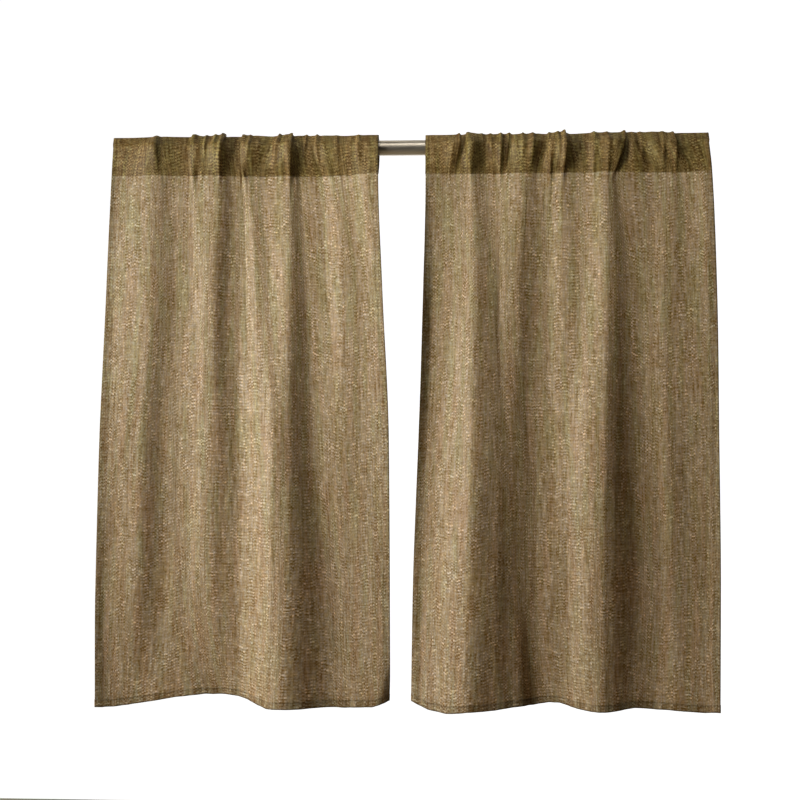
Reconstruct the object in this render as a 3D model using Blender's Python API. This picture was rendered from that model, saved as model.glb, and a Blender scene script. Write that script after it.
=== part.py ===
"""Cafe curtain pair with rod: two rod-pocket tier panels of one cloth, hung on one shared metal rod.

The fold tables hold millimetres. The part's origin is the centre of the rod's left end face, with +X
along the rod to the viewer's right, -Y towards the room and +Z up.
"""

import math

import bmesh
import bpy
import numpy as np

MM = 0.001

# The shared rod, along X from the origin.
ROD_RADIUS = 12.0
ROD_LENGTH = 942.0
ROD_SIDES = 48

# The cloth, and how far its inner face keeps from the rod's centre line where it touches the rod.
CLOTH = 1.2
HEM_EXTRA = 1.0
SIDE_HEM = 14.0
POCKET_HOLD = 12.55

# Heights of the stations of the fold tables, from the rod's centre line.
POCKET_Z = 0.0
SEAM_Z = -43.5
UPPER_Z = -227.0
MIDDLE_Z = -477.0
LOWER_Z = -694.0
HEM_Z = -892.0
CREASE_Z = 19.8

# Rows of the sheet below the seam, from the hem up. The bottom hem ends between the second and third.
BODY_ROWS = (-892.0, -883.0, -881.5, -845.0, -792.0, -743.0, -694.0, -622.0, -550.0, -477.0,
             -394.0, -310.0, -227.0, -165.0, -110.0, -75.0, -47.0)
HEM_ROWS = 2
FRONT_ROWS = (-43.5, -30.0, -15.0)
ROUND_STEPS = (0.0, 13.0, 26.0, 39.0)
COLUMN_STEP = 12.0

# How much of a fold's forward puff the crease and the back layer of the pocket follow.
CREASE_SHARE = 0.35
BACK_SHARE = 0.7
LIFT_SHARE = 0.6

# The top edge is drawn out to both sides of the pair's middle by this share.
TOP_FLARE = 0.008
PAIR_MIDDLE = 458.0

# One row a fold line, from the panel's left edge to its right edge. At each height: x from the rod's
# left end, and how far the sheet's inner face stands forward of the rod's centre line. At the pocket it
# is how far the front layer puffs off the rod instead. hem_rise lifts the lower edge there, and top_rise
# lifts the crease over the rod.
COLUMNS = ("fold", "pocket_x", "pocket_puff", "seam_x", "seam_out", "upper_x", "upper_out", "middle_x",
           "middle_out", "lower_x", "lower_out", "hem_x", "hem_out", "hem_rise", "top_rise")

LEFT_FOLDS = (
    ("edge", -2, 0, -5, 12, -16, 5, -24, 16, -29, 19, -34, 8, -5, 0),
    ("hem", 8, 0, 4, 10, -7, 4, -15, 14, -21, 16, -25, 4, -6, 0),
    ("near edge", 37, 2, 25, 11, 17, 7, 6, 12, -1, 12, -8, -1, -7, 0),
    ("crest 1", 64, 11, 59, 15, 56, 11, 38, 12, 31, 10, 16, -6, -5, 0),
    ("foot 1", 81, 7, 86, 10, 85, 5, 80, 0, 79, -3, 67, -11, 2, 2),
    ("fall 1", 100, 3, 101, 7, 99, 2, 91, -1, 94, -4, 91, -13, 6, 1),
    ("foot 2 in", 121, 0, 119, 6, 113, 2, 102, -2, 108, -5, 115, -16, 8, 1),
    ("crest 2 left", 133, 9, 132, 8, 135, 5, 124, 0, 121, -4, 139, -20, 10, 5),
    ("crest 2 dip", 148, 7, 149, 9, 145, 8, 140, 4, 135, -2, 151, -22, 9, 1),
    ("crest 2 right", 174, 15, 168, 10, 157, 9, 153, 5, 148, -1, 166, -24, 9, 5),
    ("foot 2 out", 181, 0, 188, 2, 184, 0, 180, -1, 176, -5, 179, -23, 8, 1),
    ("foot 3 in", 203, 0, 202, 0, 198, -2, 196, -4, 196, -7, 194, -22, 6, 0),
    ("crest 3", 215, 10, 215, 1, 229, 6, 239, 18, 239, 18, 230, 2, -1, 3),
    ("foot 3 out", 251, 1, 237, -3, 245, 6, 258, 27, 258, 29, 245, 16, -3, 0),
    ("crest 4", 278, 14, 278, 1, 280, 16, 281, 24, 277, 30, 269, 26, -1, 4),
    ("foot 4", 292, 1, 298, -5, 312, 6, 325, 7, 340, 7, 352, 2, -3, 2),
    ("foot 5", 318, 0, 327, -6, 338, 6, 346, 8, 359, 5, 370, 1, -4, 1),
    ("crest 5", 338, 5, 350, -1, 368, 16, 370, 10, 378, 5, 387, 3, -3, 1),
    ("foot 6", 371, 3, 373, 2, 393, 17, 398, 11, 404, 7, 413, 4, -2, 0),
    ("crest 6", 401, 6, 404, 13, 417, 23, 423, 14, 426, 9, 429, 6, 3, 1),
    ("edge", 424, 7, 424, 17, 431, 27, 441, 18, 442, 11, 442, 3, 7, 1),
)

RIGHT_FOLDS = (
    ("edge", 498, 1, 498, 12, 494, 13, 486, -1, 478, -9, 475, -10, 5, 0),
    ("hem", 505, 1, 504, 10, 499, 9, 492, -4, 484, -9, 481, -8, 2, 0),
    ("near edge", 512, 2, 515, 9, 512, 5, 502, -6, 494, -8, 493, -5, -3, 0),
    ("rise 1", 526, 3, 526, 8, 525, 5, 513, -5, 505, -5, 502, 0, -6, 0),
    ("crest 1", 542, 8, 537, 7, 537, 6, 525, -2, 515, -1, 512, 4, -7, 0),
    ("foot 1", 558, 0, 552, 6, 555, 11, 547, 13, 537, 20, 532, 18, -7, 1),
    ("crest 2", 573, 14, 574, 8, 575, 18, 573, 28, 568, 36, 562, 31, -1, 4),
    ("foot 2", 591, 1, 596, 4, 604, 12, 608, 20, 603, 29, 606, 21, 0, 1),
    ("crest 3", 616, 6, 618, 5, 615, 10, 625, 15, 628, 19, 632, 13, 2, 1),
    ("pinch", 629, 0, 629, 7, 626, 11, 642, 10, 645, 12, 651, 7, 3, 2),
    ("crest 4", 641, 8, 652, 11, 643, 11, 655, 5, 658, 8, 669, -8, 1, 0),
    ("crest 4 edge", 667, 11, 662, 10, 656, 8, 664, 2, 666, 6, 682, -10, 3, 1),
    ("foot 4", 689, 0, 680, 7, 679, 2, 677, 0, 675, 4, 697, -10, 5, 0),
    ("crest 5", 700, 9, 696, 7, 693, 1, 696, 0, 699, 4, 713, -8, 5, 4),
    ("crest 5 edge", 716, 15, 715, 10, 716, 6, 719, 5, 721, 6, 731, -2, 0, 4),
    ("foot 5 in", 729, 0, 741, 8, 743, 7, 741, 16, 741, 15, 745, 9, -1, 0),
    ("foot 5 out", 748, 1, 749, 8, 752, 10, 753, 23, 756, 23, 760, 19, -1, 1),
    ("crest 6", 774, 13, 782, 15, 782, 22, 777, 28, 774, 25, 776, 23, -1, 2),
    ("crest 6 edge", 798, 14, 792, 13, 792, 20, 788, 25, 787, 22, 789, 20, -1, 1),
    ("foot 6", 815, 0, 808, 10, 824, 10, 831, 6, 841, 0, 828, 6, 2, 4),
    ("crest 7", 825, 5, 835, 8, 845, 8, 850, 4, 854, -2, 847, 2, 0, 3),
    ("foot 7", 836, 0, 859, 6, 857, 8, 863, 4, 869, -3, 865, 0, -2, 2),
    ("crest 8", 857, 8, 875, 6, 874, 10, 881, 6, 886, -2, 883, 2, -2, 3),
    ("dip 8", 872, 5, 887, 6, 888, 10, 895, 5, 900, -3, 900, 5, -3, 2),
    ("crest 9", 882, 8, 901, 5, 908, 9, 916, 3, 921, -5, 919, 5, -4, 1),
    ("foot 9", 898, 1, 921, 8, 931, 10, 940, 3, 943, -5, 939, 6, -5, 0),
    ("hem", 930, 2, 938, 13, 946, 12, 954, 3, 957, -3, 954, 9, -3, 0),
    ("edge", 943, 3, 948, 14, 956, 13, 962, 5, 966, -1, 962, 11, -3, 0),
)

LINEN = (0.275, 0.195, 0.105, 1.0)
NICKEL = (0.52, 0.47, 0.41, 1.0)


def clear_scene():
    for obj in list(bpy.data.objects):
        bpy.data.objects.remove(obj, do_unlink=True)


def monotone_slopes(x, y):
    """Slopes at each point of a curve that never overshoots its points. y may hold several curves."""
    step = np.diff(x).reshape((-1,) + (1,) * (y.ndim - 1))
    rise = np.diff(y, axis=0) / step
    slopes = np.zeros_like(y)
    slopes[0] = rise[0]
    slopes[-1] = rise[-1]
    left, right = rise[:-1], rise[1:]
    wl = 2 * step[1:] + step[:-1]
    wr = step[1:] + 2 * step[:-1]
    same = left * right > 0
    safe_left = np.where(same, left, 1.0)
    safe_right = np.where(same, right, 1.0)
    slopes[1:-1] = np.where(same, (wl + wr) / (wl / safe_left + wr / safe_right), 0.0)
    return slopes


def monotone(x, y, at):
    """The curve through (x, y) read at the places in at."""
    slopes = monotone_slopes(x, y)
    i = np.clip(np.searchsorted(x, at) - 1, 0, len(x) - 2)
    shape = (-1,) + (1,) * (y.ndim - 1)
    h = (x[i + 1] - x[i]).reshape(shape)
    t = (at - x[i]).reshape(shape) / h
    from_start = (2 * t**3 - 3 * t**2 + 1) * y[i] + (t**3 - 2 * t**2 + t) * h * slopes[i]
    from_end = (3 * t**2 - 2 * t**3) * y[i + 1] + (t**3 - t**2) * h * slopes[i + 1]
    return from_start + from_end


class Folds:
    """One panel's fold table, read by column name."""

    def __init__(self, rows):
        self.values = {name: np.array([row[i] for row in rows], float)
                       for i, name in enumerate(COLUMNS) if i > 0}
        self.count = len(rows)

    def places(self):
        """Where the mesh's columns stand, as fold numbers with fractions, and which are in a side hem."""
        x = self.values["middle_x"]
        found = []
        for i in range(self.count - 1):
            pieces = max(1, round((x[i + 1] - x[i]) / COLUMN_STEP))
            found += [i + k / pieces for k in range(pieces)]
        found.append(float(self.count - 1))
        left = SIDE_HEM / (x[1] - x[0])
        right = self.count - 1 - SIDE_HEM / (x[-1] - x[-2])
        for end in (left, right):
            found = [q for q in found if abs(q - end) > 0.2 or q in (0.0, self.count - 1.0)]
        found += [left - 0.02, left + 0.02, right - 0.02, right + 0.02]
        places = np.array(sorted(found))
        return places, (places < left) | (places > right)

    def along(self, name, places):
        """A column's value at fractional fold numbers, straight between folds."""
        return np.interp(places, np.arange(self.count), self.values[name])

    def outward(self, station, places):
        """The sheet's forward offset at one station, smooth from fold to fold."""
        x = self.values[station + "_x"]
        name = "_puff" if station == "pocket" else "_out"
        return monotone(x, self.values[station + name], self.along(station + "_x", places))


def sheet_points(folds, places):
    """The sheet's inner face, row by row: up the front, over the crease and down the pocket's back."""
    heights = np.array([HEM_Z, LOWER_Z, MIDDLE_Z, UPPER_Z, SEAM_Z, POCKET_Z])
    stations = ("hem", "lower", "middle", "upper", "seam", "pocket")
    x_at = np.array([folds.along(name + "_x", places) for name in stations])
    out_at = np.array([folds.outward(name, places) for name in stations[:-1]])
    puff = folds.outward("pocket", places)
    seam_out = out_at[-1]
    top_rise = LIFT_SHARE * folds.along("top_rise", places)
    hem_rise = folds.along("hem_rise", places)
    body = np.array(BODY_ROWS)
    body_x = monotone(heights, x_at, body)
    body_out = monotone(heights[:-1], out_at, body)
    rows = []
    for z, x, out in zip(body, body_x, body_out):
        fade = max(0.0, 1 - (z - HEM_Z) / (LOWER_Z - HEM_Z)) ** 2
        rows.append((x, -out, z + hem_rise * fade))

    def pocket_x(z):
        if z <= POCKET_Z:
            return monotone(heights, x_at, np.array([z]))[0]
        flare = TOP_FLARE * z / CREASE_Z * (x_at[-1] - PAIR_MIDDLE)
        return x_at[-1] + 0.5 * z / (POCKET_Z - SEAM_Z) * (x_at[-1] - x_at[-2]) + flare

    def below(z, reach):
        w = (z - SEAM_Z) / (POCKET_Z - SEAM_Z)
        return seam_out + (reach - seam_out) * w * (2 - w)

    front = POCKET_HOLD + puff
    back = -(POCKET_HOLD + BACK_SHARE * puff)
    flat = np.zeros_like(front)
    for z in FRONT_ROWS:
        rows.append((pocket_x(z), -below(z, front), flat + z))
    for angle in ROUND_STEPS:
        z = POCKET_HOLD * math.sin(math.radians(angle))
        rows.append((pocket_x(z), -front * math.cos(math.radians(angle)), flat + z))
    rows.append((pocket_x(CREASE_Z), -CREASE_SHARE * puff, CREASE_Z + top_rise))
    for angle in reversed(ROUND_STEPS):
        z = POCKET_HOLD * math.sin(math.radians(angle))
        rows.append((pocket_x(z), -back * math.cos(math.radians(angle)), flat + z))
    for z in reversed(FRONT_ROWS):
        rows.append((pocket_x(z), -below(z, back), flat + z))
    return np.array([np.stack(row, axis=-1) for row in rows])


def outward_normals(points):
    """A unit normal at each point of the sheet, on the side away from the rod."""
    up = np.gradient(points, axis=0)
    across = np.gradient(points, axis=1)
    normals = np.cross(across, up)
    return normals / np.linalg.norm(normals, axis=2, keepdims=True)


def panel_faces(rows, columns, junction):
    """Quads of the closed panel. Vertices are the outer grid and then the inner grid, row by row.

    Rows below junction are the hanging sheet. The inner grid's junction row is where the pocket's
    layers meet, so the inner row after the last is that one again.
    """
    def outer(r, c):
        return r * columns + c

    def inner(r, c):
        return (rows + (junction if r == rows - 1 else r)) * columns + c

    faces = []
    for c in range(columns - 1):
        for r in range(rows - 1):
            faces.append((outer(r, c), outer(r, c + 1), outer(r + 1, c + 1), outer(r + 1, c)))
        for r in range(junction - 1):
            faces.append((inner(r, c), inner(r + 1, c), inner(r + 1, c + 1), inner(r, c + 1)))
        for r in range(junction, rows - 1):
            faces.append((inner(r, c), inner(r + 1, c), inner(r + 1, c + 1), inner(r, c + 1)))
        faces.append((inner(0, c), inner(0, c + 1), outer(0, c + 1), outer(0, c)))
        faces.append((outer(rows - 1, c), outer(rows - 1, c + 1), inner(junction - 1, c + 1),
                      inner(junction - 1, c)))
    for c, turn in ((0, 1), (columns - 1, -1)):
        sides = [(outer(r, c), outer(r + 1, c), inner(r + 1, c), inner(r, c))
                 for r in range(rows - 1) if r != junction - 1]
        below, tip = inner(junction - 1, c), inner(junction, c)
        sides.append((outer(junction - 1, c), outer(junction, c), tip, below))
        sides.append((below, tip, outer(rows - 1, c)))
        faces += [side[::turn] for side in sides]
    return faces


def add_solid(name, points, faces, material):
    """One closed body from points in millimetres."""
    bm = bmesh.new()
    verts = [bm.verts.new(point * MM) for point in points]
    for face in faces:
        bm.faces.new([verts[i] for i in face])
    unused = [vert for vert in verts if not vert.link_faces]
    bmesh.ops.delete(bm, geom=unused, context="VERTS")
    bmesh.ops.recalc_face_normals(bm, faces=bm.faces)
    mesh = bpy.data.meshes.new(name)
    bm.to_mesh(mesh)
    bm.free()
    mesh.materials.append(material)
    obj = bpy.data.objects.new(name, mesh)
    bpy.context.scene.collection.objects.link(obj)
    return obj


def add_panel(name, table, material):
    """A hung tier panel: its folds, the pocket round the rod, the seam, and the side and bottom hems."""
    folds = Folds(table)
    places, in_side_hem = folds.places()
    inner = sheet_points(folds, places)
    normals = outward_normals(inner)
    rows, columns = inner.shape[:2]
    junction = len(BODY_ROWS)
    outer = inner + CLOTH * normals
    hemmed = np.zeros((rows, columns), bool)
    hemmed[:HEM_ROWS] = True
    hemmed[:junction - 1, in_side_hem] = True
    inner = inner - HEM_EXTRA * hemmed[..., None] * normals
    points = np.concatenate([outer.reshape(-1, 3), inner.reshape(-1, 3)])
    return add_solid(name, points, panel_faces(rows, columns, junction), material)


def add_rod(name, material):
    """The plain round bar through both pockets, with flat ends."""
    angles = [2 * math.pi * k / ROD_SIDES for k in range(ROD_SIDES)]
    ring = [(ROD_RADIUS * math.cos(a), ROD_RADIUS * math.sin(a)) for a in angles]
    points = np.array([(x, y, z) for x in (0.0, ROD_LENGTH) for y, z in ring])
    faces = [tuple(range(ROD_SIDES)), tuple(range(ROD_SIDES, 2 * ROD_SIDES))]
    for k in range(ROD_SIDES):
        after = (k + 1) % ROD_SIDES
        faces.append((k, after, ROD_SIDES + after, ROD_SIDES + k))
    return add_solid(name, points, faces, material)


def add_material(name, color, metallic, roughness):
    material = bpy.data.materials.new(name)
    material.use_nodes = True
    shader = material.node_tree.nodes["Principled BSDF"]
    shader.inputs["Base Color"].default_value = color
    shader.inputs["Metallic"].default_value = metallic
    shader.inputs["Roughness"].default_value = roughness
    return material


def main():
    clear_scene()
    linen = add_material("linen_cloth", LINEN, 0.0, 0.9)
    nickel = add_material("brushed_nickel", NICKEL, 1.0, 0.35)
    add_panel("panel_left", LEFT_FOLDS, linen)
    add_panel("panel_right", RIGHT_FOLDS, linen)
    add_rod("rod", nickel)


main()
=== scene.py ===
"""Cafe curtain pair with rod: two rod-pocket tier panels in linen-look cloth, their stitching, the
rod and a studio.

Lengths in tables and settings are millimetres unless a comment says otherwise. The frame's origin
is the centre of the rod's left end, with +X along the rod to the viewer's right, -Y to the room and
+Z up.
"""

import math

import bmesh
import bpy
import numpy as np
from mathutils import Matrix, Vector, noise


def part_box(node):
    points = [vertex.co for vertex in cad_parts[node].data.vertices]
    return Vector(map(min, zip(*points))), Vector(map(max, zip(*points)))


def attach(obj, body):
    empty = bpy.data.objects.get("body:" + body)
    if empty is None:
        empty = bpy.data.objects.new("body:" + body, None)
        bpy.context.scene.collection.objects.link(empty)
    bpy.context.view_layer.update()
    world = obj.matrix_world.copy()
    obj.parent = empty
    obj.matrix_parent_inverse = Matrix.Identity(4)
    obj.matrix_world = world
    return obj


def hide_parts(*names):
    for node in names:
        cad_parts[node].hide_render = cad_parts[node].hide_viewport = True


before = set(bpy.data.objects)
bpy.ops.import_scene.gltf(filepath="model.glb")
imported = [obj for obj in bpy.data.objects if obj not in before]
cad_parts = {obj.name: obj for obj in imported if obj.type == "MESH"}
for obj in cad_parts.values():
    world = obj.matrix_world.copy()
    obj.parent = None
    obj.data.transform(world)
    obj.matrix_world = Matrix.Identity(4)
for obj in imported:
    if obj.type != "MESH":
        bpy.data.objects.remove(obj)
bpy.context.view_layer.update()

bl_info = {
    "name": "Cafe curtain pair with rod",
    "version": (1, 0, 0),
    "blender": (4, 5, 0),
    "location": "View3D > Sidebar > Curtain",
    "description": "Builds a pair of linen-look cafe curtain panels on one metal rod",
    "category": "Add Mesh",
}

MM = 0.001

# What the solids give: the rod, and where the cloth keeps clear of it.
ROD_LOW, ROD_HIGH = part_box("rod")
ROD_RADIUS = (ROD_HIGH[2] - ROD_LOW[2]) / 2 / MM
ROD_LENGTH = (ROD_HIGH[0] - ROD_LOW[0]) / MM
POCKET_HOLD = 12.55

# Heights of the fold tables' stations, from the rod's centre line.
HEM_Z = -892.0
SEAM_Z = -43.5
CREASE_Z = 19.8
HEIGHTS = np.array([HEM_Z, -694.0, -477.0, -227.0, SEAM_Z, 0.0])
STATIONS = ("hem", "lower", "middle", "upper", "seam", "pocket")

# How much of a fold's forward puff the crease and the pocket's back layer follow, and how much of
# top_rise the crease takes.
CREASE_SHARE = 0.35
BACK_SHARE = 0.7
LIFT_SHARE = 0.6

# How much of their lean below the seam the folds keep inside the pocket.
LEAN_SHARE = 0.5

# The top edge is drawn out to both sides of the pair's middle by this share.
TOP_FLARE = 0.008
PAIR_MIDDLE = 458.0

# Where the sheet lies on the rod, in degrees above its centre, and where the rows run from there to
# the crease, which sinks a little at its very top.
WRAP_ANGLE = 39.0
WRAP_ROWS = 8
CROWN_SHARES = (0.3, 0.6, 0.8, 0.92)
CREASE_SINK = 0.45

# Where the grid is finer: inwards from an edge, about the bottom hem's upper edge, and below the
# seam.
EDGE_STEPS = (0.0, 0.4, 1.0, 2.2, 4.5)
SIDE_STEPS = EDGE_STEPS + (8.0, 11.0)
HEM_STEP = 1.5
SEAM_REACH = 12.0
SEAM_STEPS = (-9.0, -6.5, -4.5, -3.0, -2.0, -1.0)

# Places read between two fold lines to measure the cloth, and how columns crowd about each tuck.
FINE_STEPS = 40
CROWDING = 1.6
CROWD_REACH = 9.0

# How fully a turned hem lies behind the sheet, from its fold inwards.
TURN_EASE = (0.45, 0.8, 1.0, 1.0, 1.0, 1.0, 1.0)

# One row a fold line, from the panel's left edge to its right edge. At each height: x from the
# rod's left end, and how far the sheet's inner face stands forward of the rod's centre line. At the
# pocket it is how far the front layer puffs off the rod instead. hem_rise lifts the lower edge
# there, and top_rise lifts the crease over the rod.
COLUMNS = (
    "fold", "pocket_x", "pocket_puff", "seam_x", "seam_out", "upper_x", "upper_out", "middle_x",
    "middle_out", "lower_x", "lower_out", "hem_x", "hem_out", "hem_rise", "top_rise",
)

LEFT_FOLDS = (
    ("edge", -2, 0, -5, 12, -16, 5, -24, 16, -29, 19, -34, 8, -5, 0),
    ("hem", 8, 0, 4, 10, -7, 4, -15, 14, -21, 16, -25, 4, -6, 0),
    ("near edge", 37, 2, 25, 11, 17, 7, 6, 12, -1, 12, -8, -1, -7, 0),
    ("crest 1", 64, 11, 59, 15, 56, 11, 38, 12, 31, 10, 16, -6, -5, 0),
    ("foot 1", 81, 7, 86, 10, 85, 5, 80, 0, 79, -3, 67, -11, 2, 2),
    ("fall 1", 100, 3, 101, 7, 99, 2, 91, -1, 94, -4, 91, -13, 6, 1),
    ("foot 2 in", 121, 0, 119, 6, 113, 2, 102, -2, 108, -5, 115, -16, 8, 1),
    ("crest 2 left", 133, 9, 132, 8, 135, 5, 124, 0, 121, -4, 139, -20, 10, 5),
    ("crest 2 dip", 148, 7, 149, 9, 145, 8, 140, 4, 135, -2, 151, -22, 9, 1),
    ("crest 2 right", 174, 15, 168, 10, 157, 9, 153, 5, 148, -1, 166, -24, 9, 5),
    ("foot 2 out", 181, 0, 188, 2, 184, 0, 180, -1, 176, -5, 179, -23, 8, 1),
    ("foot 3 in", 203, 0, 202, 0, 198, -2, 196, -4, 196, -7, 194, -22, 6, 0),
    ("crest 3", 215, 10, 215, 1, 229, 6, 239, 18, 239, 18, 230, 2, -1, 3),
    ("foot 3 out", 251, 1, 237, -3, 245, 6, 258, 27, 258, 29, 245, 16, -3, 0),
    ("crest 4", 278, 14, 278, 1, 280, 16, 281, 24, 277, 30, 269, 26, -1, 4),
    ("foot 4", 292, 1, 298, -5, 312, 6, 325, 7, 340, 7, 352, 2, -3, 2),
    ("foot 5", 318, 0, 327, -6, 338, 6, 346, 8, 359, 5, 370, 1, -4, 1),
    ("crest 5", 338, 5, 350, -1, 368, 16, 370, 10, 378, 5, 387, 3, -3, 1),
    ("foot 6", 371, 3, 373, 2, 393, 17, 398, 11, 404, 7, 413, 4, -2, 0),
    ("crest 6", 401, 6, 404, 13, 417, 23, 423, 14, 426, 9, 429, 6, 3, 1),
    ("edge", 424, 7, 424, 17, 431, 27, 441, 18, 442, 11, 442, 3, 7, 1),
)

RIGHT_FOLDS = (
    ("edge", 498, 1, 498, 12, 494, 13, 486, -1, 478, -9, 475, -10, 5, 0),
    ("hem", 505, 1, 504, 10, 499, 9, 492, -4, 484, -9, 481, -8, 2, 0),
    ("near edge", 512, 2, 515, 9, 512, 5, 502, -6, 494, -8, 493, -5, -3, 0),
    ("rise 1", 526, 3, 526, 8, 525, 5, 513, -5, 505, -5, 502, 0, -6, 0),
    ("crest 1", 542, 8, 537, 7, 537, 6, 525, -2, 515, -1, 512, 4, -7, 0),
    ("foot 1", 558, 0, 552, 6, 555, 11, 547, 13, 537, 20, 532, 18, -7, 1),
    ("crest 2", 573, 14, 574, 8, 575, 18, 573, 28, 568, 36, 562, 31, -1, 4),
    ("foot 2", 591, 1, 596, 4, 604, 12, 608, 20, 603, 29, 606, 21, 0, 1),
    ("crest 3", 616, 6, 618, 5, 615, 10, 625, 15, 628, 19, 632, 13, 2, 1),
    ("pinch", 629, 0, 629, 7, 626, 11, 642, 10, 645, 12, 651, 7, 3, 2),
    ("crest 4", 641, 8, 652, 11, 643, 11, 655, 5, 658, 8, 669, -8, 1, 0),
    ("crest 4 edge", 667, 11, 662, 10, 656, 8, 664, 2, 666, 6, 682, -10, 3, 1),
    ("foot 4", 689, 0, 680, 7, 679, 2, 677, 0, 675, 4, 697, -10, 5, 0),
    ("crest 5", 700, 9, 696, 7, 693, 1, 696, 0, 699, 4, 713, -8, 5, 4),
    ("crest 5 edge", 716, 15, 715, 10, 716, 6, 719, 5, 721, 6, 731, -2, 0, 4),
    ("foot 5 in", 729, 0, 741, 8, 743, 7, 741, 16, 741, 15, 745, 9, -1, 0),
    ("foot 5 out", 748, 1, 749, 8, 752, 10, 753, 23, 756, 23, 760, 19, -1, 1),
    ("crest 6", 774, 13, 782, 15, 782, 22, 777, 28, 774, 25, 776, 23, -1, 2),
    ("crest 6 edge", 798, 14, 792, 13, 792, 20, 788, 25, 787, 22, 789, 20, -1, 1),
    ("foot 6", 815, 0, 808, 10, 824, 10, 831, 6, 841, 0, 828, 6, 2, 4),
    ("crest 7", 825, 5, 835, 8, 845, 8, 850, 4, 854, -2, 847, 2, 0, 3),
    ("foot 7", 836, 0, 859, 6, 857, 8, 863, 4, 869, -3, 865, 0, -2, 2),
    ("crest 8", 857, 8, 875, 6, 874, 10, 881, 6, 886, -2, 883, 2, -2, 3),
    ("dip 8", 872, 5, 887, 6, 888, 10, 895, 5, 900, -3, 900, 5, -3, 2),
    ("crest 9", 882, 8, 901, 5, 908, 9, 916, 3, 921, -5, 919, 5, -4, 1),
    ("foot 9", 898, 1, 921, 8, 931, 10, 940, 3, 943, -5, 939, 6, -5, 0),
    ("hem", 930, 2, 938, 13, 946, 12, 954, 3, 957, -3, 954, 9, -3, 0),
    ("edge", 943, 3, 948, 14, 956, 13, 962, 5, 966, -1, 962, 11, -3, 0),
)

# Narrow tucks gathered into the pocket. In each row: x at the top edge and at the seam, how far it
# reaches to its left and right, its height, and the height on the panel by which it has run out.
LEFT_TUCKS = (
    (67, 71, 7.0, 3.0, 2.5, -60), (126, 125, 3.0, 5.0, 3.4, -150), (147, 147, 3.2, 3.0, 2.6, -24),
    (162, 163, 3.0, 2.4, 2.2, -26), (175, 169, 3.4, 1.8, 4.2, -65), (207, 208, 2.4, 3.8, 3.6, -120),
    (218, 215, 2.6, 1.8, 2.4, -20), (266, 255, 3.2, 2.0, 3.6, -38), (284, 281, 3.8, 1.8, 4.4, -100),
    (308, 303, 3.0, 2.0, 2.6, -22), (325, 329, 2.6, 2.4, 3.0, -30), (356, 359, 4.0, 4.0, 1.0, -70),
    (391, 393, 3.5, 3.5, 1.6, -60),
)

RIGHT_TUCKS = (
    (552, 547, 3.0, 2.0, 3.2, -30), (566, 570, 2.6, 4.6, 3.6, -110), (588, 591, 3.0, 3.0, 1.8, -18),
    (602, 605, 3.0, 2.2, 2.0, -22), (618, 616, 3.0, 2.6, 2.6, -70), (632, 622, 3.2, 2.2, 3.0, -36),
    (653, 650, 2.4, 2.4, 2.8, -34), (669, 664, 3.4, 2.0, 2.4, -44), (695, 695, 2.6, 3.6, 3.4, -90),
    (708, 709, 3.0, 2.6, 2.4, -30), (718, 716, 3.6, 1.8, 4.2, -80), (765, 763, 2.8, 4.0, 2.6, -90),
    (785, 786, 3.4, 3.0, 1.8, -60), (813, 795, 3.6, 2.0, 4.2, -66), (838, 840, 3.2, 4.0, 1.8, -60),
    (873, 869, 3.4, 3.6, 1.8, -56), (889, 893, 3.4, 2.2, 2.6, -60),
)

# How a tuck goes on below the seam. It widens by its own width for each TUCK_SPREAD, up to
# TUCK_WIDEST widths more, keeps its line for four pocket heights, and drops to TUCK_BELOW of its
# height within TUCK_EASE. It fades out over the last share of its length, by a power. The hollow on
# its right is placed and sized by the tuck's width there.
TUCK_SPREAD = 60.0
TUCK_WIDEST = 3.0
TUCK_LINE = -4.0
TUCK_BELOW = 0.5
TUCK_EASE = 30.0
TUCK_FADE, TUCK_POWER = 0.6, 1.3
TUCK_AT_CREASE = 0.75
HOLLOW_PLACE, HOLLOW_WIDTH, HOLLOW_DEPTH = 2.4, 1.5, 0.2

# Fine creases below the seam, each a sharp narrow trough. In each row: depth, half width, and the
# line as pairs of height on the panel and x.
LEFT_CREASES = (
    (1.9, 5.5, ((-800, 228), (-660, 222), (-530, 219), (-400, 215), (-250, 209), (-36, 207))),
    (0.8, 7.0, ((-340, 124), (-200, 125), (-40, 126))),
)
RIGHT_CREASES = (
    (0.5, 5.0, ((-230, 562), (-40, 563))),
    (0.6, 4.0, ((-210, 688), (-40, 687))),
)


# How long a fine crease takes to fade in from its lower end and out at its upper end.
CREASE_FADE_LOW, CREASE_FADE_HIGH = 90.0, 25.0

# How far the lower right corner turns back, and the width and height of the part that turns.
LEFT_CORNER = (6.5, 34.0, 60.0)
RIGHT_CORNER = (0.0, 34.0, 60.0)
CORNER_POWER = 1.2

# What each panel is built from, and the seed of its unevenness.
PANELS = {
    "left": (LEFT_FOLDS, LEFT_TUCKS, LEFT_CREASES, LEFT_CORNER, 0.0),
    "right": (RIGHT_FOLDS, RIGHT_TUCKS, RIGHT_CREASES, RIGHT_CORNER, 20.0),
}

# Unevenness on top of the folds: height, the size of its marks across and along, and a seed. That
# of the seam and the hem fades with distance from them, and the rest is gentler on the pocket.
UNEVEN = {"seam": (1.1, 9, 60, 0.3), "hem": (0.5, 11, 40, 1.7), "soft": (0.55, 26, 150, 3.1),
          "fine": (0.12, 9, 55, 4.9)}
SEAM_FADE = 16.0
HEM_FADE = 14.0
POCKET_SOFTNESS = 0.5

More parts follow.
